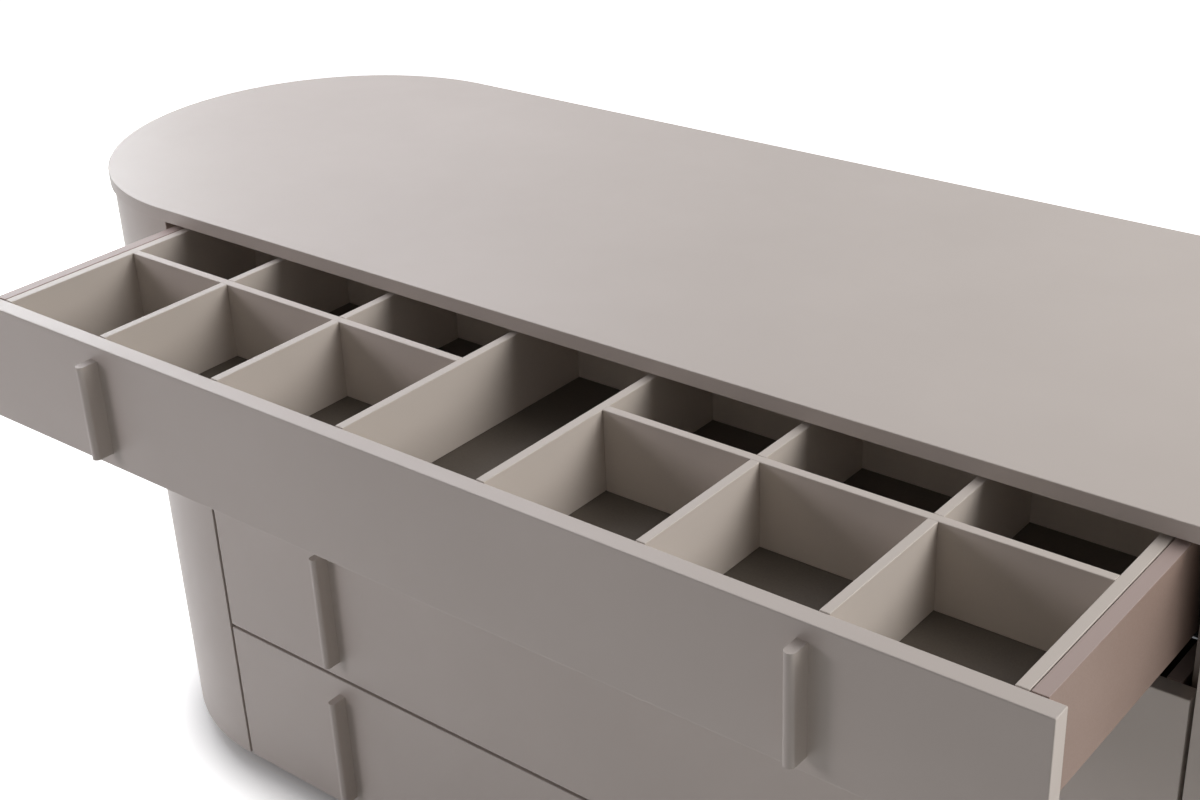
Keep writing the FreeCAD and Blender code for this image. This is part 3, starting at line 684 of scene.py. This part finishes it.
def planks():
    """A plank of a given size set at each place, from its lowest corner."""
    tree, given, node = new_tree("planks", Size="Vector", Turn="Vector", Finish="Material")
    cube = node("GeometryNodeMeshCube", sockets={"Size": given["Size"]})
    half = node("ShaderNodeVectorMath", {"operation": "SCALE"}, {0: given["Size"], "Scale": 0.5})
    stood = node("GeometryNodeTransform", sockets={
        "Geometry": cube["Mesh"], "Translation": half[0]})
    smooth = node("GeometryNodeSetShadeSmooth", sockets={0: stood[0]})
    return set_in_place(tree, given, smooth[0])


plank_tree = planks()
organiser_lacquer = satin_lacquer("organiser_satin_lacquer", "#D2C9C0", "#CDC4BA", 0.48)
cross_nodes = ["organiser_cross_divider_1", "organiser_cross_divider_2",
               "organiser_full_divider_3", "organiser_full_divider_4",
               "organiser_cross_divider_5", "organiser_cross_divider_6"]
starts = [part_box(node)[0] for node in cross_nodes]
first_lo, first_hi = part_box(cross_nodes[0])
tray_arris = 0.8 * mm
lap_height = 40 * mm
lap_play = 0.1 * mm
laps = []
for node in ("organiser_long_divider_left", "organiser_long_divider_right"):
    lo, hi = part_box(node)
    laps.append((lo + Vector((0, -lap_play, lap_height)), hi + Vector((0, lap_play, run_out))))
    fit(node.replace("organiser_", "tray_"), machined(blocks((lo, hi)), arris=tray_arris),
        organiser_lacquer, "top_drawer", "organiser_board", node)
fit("tray_cross_boards",
    machined(places(*starts), arris=tray_arris, holes=blocks(*laps), tree=plank_tree, sizes={
        "Size": first_hi - first_lo, "Finish": organiser_lacquer}),
    organiser_lacquer, "top_drawer", "organiser_board", *cross_nodes)
for node in ("organiser_side_left", "organiser_side_right", "organiser_back"):
    fit(node.replace("organiser_", "tray_"), machined(blocks(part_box(node)), arris=tray_arris),
        organiser_lacquer, "top_drawer", "organiser_board", node)

# Studio
# A white floor that runs to the horizon, in a white room. Four soft boxes stand above, at the
# left, in front at the left, and at the right. The camera stands at the photograph's place:
# high, in front and to the right.


def softbox(name, place, aim, size, power, tint):
    """A square studio light that points at a spot."""
    light = bpy.data.lights.new(name, "AREA")
    light.size = size
    light.energy = power
    light.color = tint
    lamp = bpy.data.objects.new(name, light)
    lamp.location = place
    lamp.rotation_euler = (Vector(aim) - Vector(place)).to_track_quat("-Z", "Y").to_euler()
    bpy.context.scene.collection.objects.link(lamp)


def looked_at(tree):
    """1 where the camera, a reflection or a clear piece shows a thing, 0 where it sheds light."""
    rays = add(tree, "ShaderNodeLightPath").outputs
    straight = add(tree, "ShaderNodeMath", {"operation": "MAXIMUM"}, {
        0: rays["Is Camera Ray"], 1: rays["Is Glossy Ray"]})
    return add(tree, "ShaderNodeMath", {"operation": "MAXIMUM"}, {
        0: straight.outputs[0], 1: rays["Is Transmission Ray"]}).outputs[0]


far = 30
ground = bpy.data.meshes.new("floor")
ground.from_pydata([(-far, -far, 0), (far, -far, 0), (far, far, 0), (-far, far, 0)],
                   [], [(0, 1, 2, 3)])
floor = bpy.data.objects.new("floor", ground)
bpy.context.scene.collection.objects.link(floor)
paper, paper_tree, paper_shader, spot = new_finish("white_paper_floor")
cover = add(paper_tree, "ShaderNodeBsdfDiffuse", sockets={"Color": (0.87, 0.86, 0.84, 1.0)})

# The paper glows, so that it is pure white where it is looked at. The glow fades out from 350 to
# 215 mm beside a line along the dresser's middle. That fade is painted shade around the dresser,
# and the dresser's real shadow also shows within it.
painted_shade_line_end = 0.585
painted_shade_reach = 0.215
glow_start = 0.350
flat = add(paper_tree, "ShaderNodeSeparateXYZ", sockets={0: spot})
sideways = add(paper_tree, "ShaderNodeMath", {"operation": "ABSOLUTE"}, {0: flat.outputs[0]})
past_end = add(paper_tree, "ShaderNodeMath", {"operation": "SUBTRACT"}, {
    0: sideways.outputs[0], 1: painted_shade_line_end})
beyond = add(paper_tree, "ShaderNodeMath", {"operation": "MAXIMUM"}, {
    0: past_end.outputs[0], 1: 0.0})
off_line = add(paper_tree, "ShaderNodeCombineXYZ", sockets={
    0: beyond.outputs[0], 1: flat.outputs[1]})
distance = add(paper_tree, "ShaderNodeVectorMath", {"operation": "LENGTH"}, {
    0: off_line.outputs[0]})
clear = add(paper_tree, "ShaderNodeMapRange", {"interpolation_type": "SMOOTHSTEP"}, {
    "Value": distance.outputs["Value"], "From Min": painted_shade_reach, "From Max": glow_start,
    "To Max": 1.0})
lift = add(paper_tree, "ShaderNodeMath", {"operation": "MULTIPLY"}, {
    0: clear.outputs[0], 1: looked_at(paper_tree)})
glow = add(paper_tree, "ShaderNodeEmission", sockets={"Strength": lift.outputs[0]})
bright = add(paper_tree, "ShaderNodeAddShader", sockets={0: cover.outputs[0], 1: glow.outputs[0]})
paper_tree.links.new(bright.outputs[0], paper_tree.nodes["Material Output"].inputs["Surface"])
paper_tree.nodes.remove(paper_shader)
ground.materials.append(paper)

world = bpy.data.worlds.new("studio")
world.use_nodes = True
bpy.context.scene.world = world
sky = world.node_tree
strength = add(sky, "ShaderNodeMapRange", sockets={
    "Value": looked_at(sky), "To Min": 0.07, "To Max": 1.0})
sky.nodes["Background"].inputs["Color"].default_value = (1.0, 1.0, 1.0, 1.0)
sky.links.new(strength.outputs[0], sky.nodes["Background"].inputs["Strength"])

softbox("soft_box_above", (-1.3, 0.3, 2.1), (-0.5, 0.0, 0.77), 1.6, 14.6, (0.92, 0.905, 1.0))
softbox("soft_box_left", (-3.2, 0.8, 1.75), (-0.5, -0.4, 0.75), 1.2, 24.2, (0.92, 0.97, 1.0))
softbox("soft_box_front_left", (-1.9, -2.4, 1.5), (-0.2, -0.4, 0.5), 0.8, 14.5, (1.0, 0.93, 0.99))
softbox("soft_box_right", (2.5, 0.9, 2.3), (0.1, -0.2, 0.7), 2.0, 75.7, (1.0, 0.976, 0.965))

lens = bpy.data.cameras.new("camera")
lens.sensor_width = 36.0
lens.lens = 54.1246
camera = bpy.data.objects.new("camera", lens)
camera.location = (0.96112, -1.38354, 1.46064)
camera.rotation_euler = Euler([math.radians(a) for a in (62.8959, 2.3494, 38.7555)], "XYZ")
bpy.context.scene.collection.objects.link(camera)
bpy.context.scene.camera = camera
bpy.context.scene.view_settings.view_transform = "Standard"
